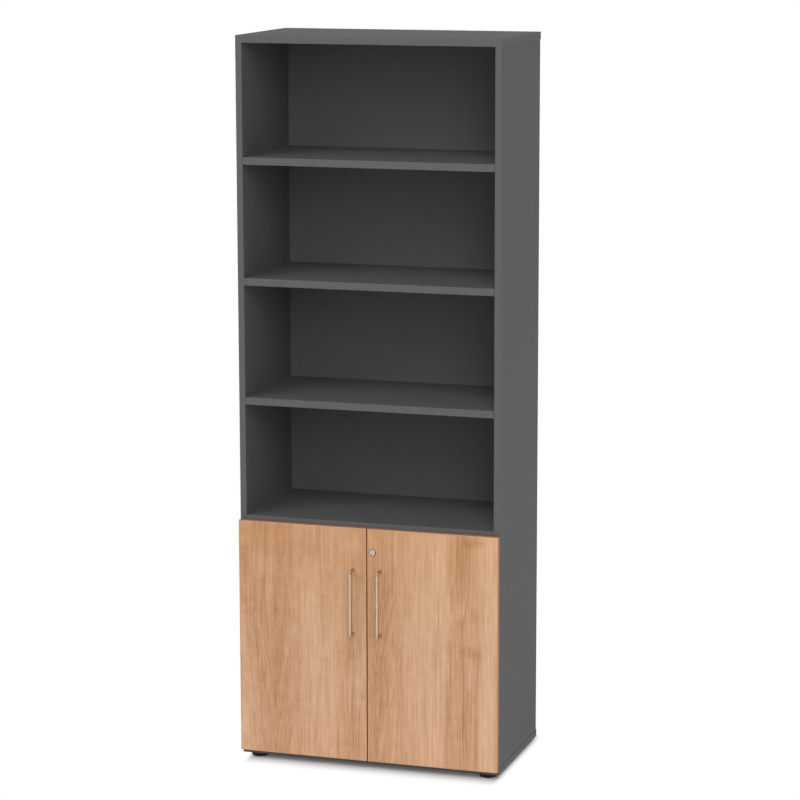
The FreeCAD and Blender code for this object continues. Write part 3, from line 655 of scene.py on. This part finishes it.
def makeLock():
    low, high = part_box("lock_housing")
    x, z = spread(low[0], high[0])[0], spread(low[2], high[2])[0]
    top, bore, edge = lock["headHeight"], lock["bore"], lock["boreEdge"]
    face = Vector((x, low[1] + top, z))
    rings = [(lock["headRadius"] - lock["headBreak"], 0.0), (lock["headRadius"], lock["headBreak"])]
    rings += roundOver(lock["headRadius"], top, lock["rim"], lock["rimSteps"])
    rings += [(bore + edge, top), (bore, top - edge), (bore, lock["boreFloor"])]
    head = turnedEnd("lockHead", face, forward, rings)

    radius, edge, length = lock["bodyRadius"], lock["bodyEdge"], high[1] - face.y
    body = turnedPiece("lockBody", face, backward,
                       [(radius, 0.0), (radius, length - edge), (radius - edge, length)])
    for way in (-1.0, 1.0):    # two flats keep the lock from turning in the door
        bpy.ops.mesh.select_all(action="SELECT")
        bpy.ops.mesh.bisect(plane_co=(x + way * lock["halfFlat"], 0.0, 0.0),
                            plane_no=(way, 0.0, 0.0), use_fill=True, clear_outer=True)
    finishShape(body)
    for piece in (head, body):
        dress(piece, finishes["lock_ring"])
    joinPieces(head, body)
    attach(head, "right_door")
    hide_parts("lock_housing")


makeLock()
print("lock modelled")


# Stage: a white floor that keeps the contact shadow, and a white surround

white = (1.0, 1.0, 1.0)
stage = {"floorSize": 60.0, "floorBounce": 0.92, "floorSeen": 0.78, "floorGlow": 0.055,
         "dome": 0.25, "shadowInset": 0.0114, "shadowReach": 0.089, "sideInset": 0.0235,
         "sideReach": 0.027, "sideShift": 0.0085}


def seenRay(finish):    # 1 for what the camera sees, also in glass and metal
    path = finish.node("ShaderNodeLightPath", {}).socket.node
    direct, gloss, glass = (Wire(finish, path.outputs[name]) for name in
                            ("Is Camera Ray", "Is Glossy Ray", "Is Transmission Ray"))
    anyRay = direct + gloss + glass
    return anyRay.maths("MINIMUM", anyRay, 1.0)


def beyond(distance, reach):    # 0 up to the line, rising by 1 for each reach past it
    return distance.maths("MAXIMUM", distance, 0.0) / reach


def makeFloor():
    bpy.ops.object.select_all(action="DESELECT")
    bpy.ops.mesh.primitive_plane_add(size=stage["floorSize"], location=(0.0, 0.0, 0.0))
    floor = bpy.context.active_object
    floor.name = "floor"
    finish = newFinish("floorWhite")
    plain = finish.node("ShaderNodeBsdfDiffuse", {}, Color=scaled(white, stage["floorBounce"]))
    lit = finish.node("ShaderNodeBsdfDiffuse", {}, Color=scaled(white, stage["floorSeen"]))
    glow = finish.node("ShaderNodeEmission", {}, Color=white, Strength=stage["floorGlow"])
    bright = finish.node("ShaderNodeAddShader", {}, lit, glow)
    even = finish.node("ShaderNodeEmission", {}, Color=white, Strength=1.0)
    # the floor turns into even white a little way out from the object
    x, y = finish.parts(finish.place())[:2]
    low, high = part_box("bottom_panel")
    middle, half = spread(low[1], high[1])
    beside = beyond(abs(x - stage["sideShift"]) - high[0] + stage["sideInset"], stage["sideReach"])
    before = beyond(abs(y - middle) - half + stage["shadowInset"], stage["shadowReach"])
    far = finish.between((beside * beside + before * before) ** 0.5, 0.0, 1.0)
    shown = finish.node("ShaderNodeMixShader", {}, far, bright, even)
    finish.show(finish.node("ShaderNodeMixShader", {}, seenRay(finish), plain, shown))
    dress(floor, finish.owner)


def makeSurround():
    world = bpy.data.worlds.new("surround")
    bpy.context.scene.world = world
    surround = Finish(world, "ShaderNodeOutputWorld")
    strength = seenRay(surround) * (1.0 - stage["dome"]) + stage["dome"]
    surround.show(surround.node("ShaderNodeBackground", {}, Color=white, Strength=strength))


makeFloor()
makeSurround()

middleHeight = (0.0, 0.0, 1.1)
lamps = [
    {"name": "left", "at": (-6.15, -8.79, 10.10), "aim": middleHeight, "size": 8.0,
     "power": 540.0},
    {"name": "high", "at": (4.66, -10.0, 9.72), "aim": middleHeight, "size": 7.0,
     "power": 414.0},
    {"name": "low", "at": (4.55, -12.51, 5.43), "aim": middleHeight, "size": 7.0,
     "power": 430.0},
    {"name": "right", "at": (12.80, -5.56, 2.60), "aim": middleHeight, "size": 5.0,
     "power": 96.0},
    {"name": "side", "at": (13.20, 1.60, 0.90), "aim": (0.4, 0.0, 0.35), "size": 1.6,
     "power": 2.9, "spread": 15.0},
    {"name": "rear", "at": (0.0, 13.0, 1.15), "aim": middleHeight, "size": 2.2,
     "power": 700.0},
]
for lamp in lamps:
    light = bpy.data.lights.new(lamp["name"], "AREA")
    light.shape = "DISK"
    light.size = lamp["size"]
    light.energy = lamp["power"]
    light.spread = math.radians(lamp.get("spread", 180.0))
    holder = bpy.data.objects.new(lamp["name"], light)
    bpy.context.scene.collection.objects.link(holder)
    holder.location = lamp["at"]
    aim = Vector(lamp["aim"]) - Vector(lamp["at"])
    holder.rotation_euler = aim.to_track_quat("-Z", "Y").to_euler()
print("stage and lamps ready")

eye = {"at": (2.6331, -8.0623, 2.6126), "pitch": -0.17873, "turn": 0.31093, "roll": 0.0020,
       "lens": 130.73, "sensor": 36.0}
view = bpy.data.cameras.new("camera")
view.lens = eye["lens"]
view.sensor_width = eye["sensor"]
camera = bpy.data.objects.new("camera", view)
bpy.context.scene.collection.objects.link(camera)
camera.location = eye["at"]
camera.rotation_euler = (math.pi / 2 + eye["pitch"], eye["roll"], eye["turn"])
bpy.context.scene.camera = camera
print("camera placed")

bpy.context.scene.view_settings.view_transform = "Standard"
